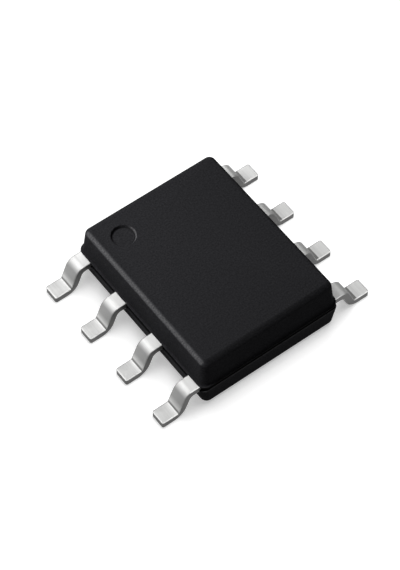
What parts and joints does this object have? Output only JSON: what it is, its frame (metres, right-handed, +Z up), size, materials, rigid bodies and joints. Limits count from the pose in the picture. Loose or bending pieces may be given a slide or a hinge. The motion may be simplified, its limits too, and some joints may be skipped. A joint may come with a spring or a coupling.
{
  "type": "small outline integrated circuit",
  "caption": "Small outline chip: a drafted black epoxy moulding with a parting lip and gull-wing leads on its long sides, over a die on a pad with bond wires.",
  "frame": {"origin": "middle of the footprint, on the plane of the undersides of the feet", "axes": "+Z up from the board, +Y along the body towards the end with the mark of lead 1, +X across the leads towards leads 5 to 8"},
  "size_m": [0.0054, 0.0044, 0.0014],
  "materials": {
    "mould_epoxy": "fine matt mould grain",
    "tinned_copper": "satin tin plate, lightly brushed across",
    "bare_copper": "rolled copper alloy sheet, satin",
    "silver_epoxy": "silver-filled adhesive, matt",
    "silicon": "polished silicon",
    "bond_copper": "bright drawn wire"
  },
  "bodies": {
    "root": {"mould_body": "mould_epoxy", "lead_1": "tinned_copper", "lead_2": "tinned_copper", "lead_3": "tinned_copper", "lead_4": "tinned_copper", "lead_5": "tinned_copper", "lead_6": "tinned_copper", "lead_7": "tinned_copper", "lead_8": "tinned_copper", "die_pad": "bare_copper", "die_attach": "silver_epoxy", "die": "silicon", "bond_wire_1": "bond_copper", "bond_wire_2": "bond_copper", "bond_wire_3": "bond_copper", "bond_wire_4": "bond_copper", "bond_wire_5": "bond_copper", "bond_wire_6": "bond_copper", "bond_wire_7": "bond_copper", "bond_wire_8": "bond_copper"}
  },
  "joints": []
}
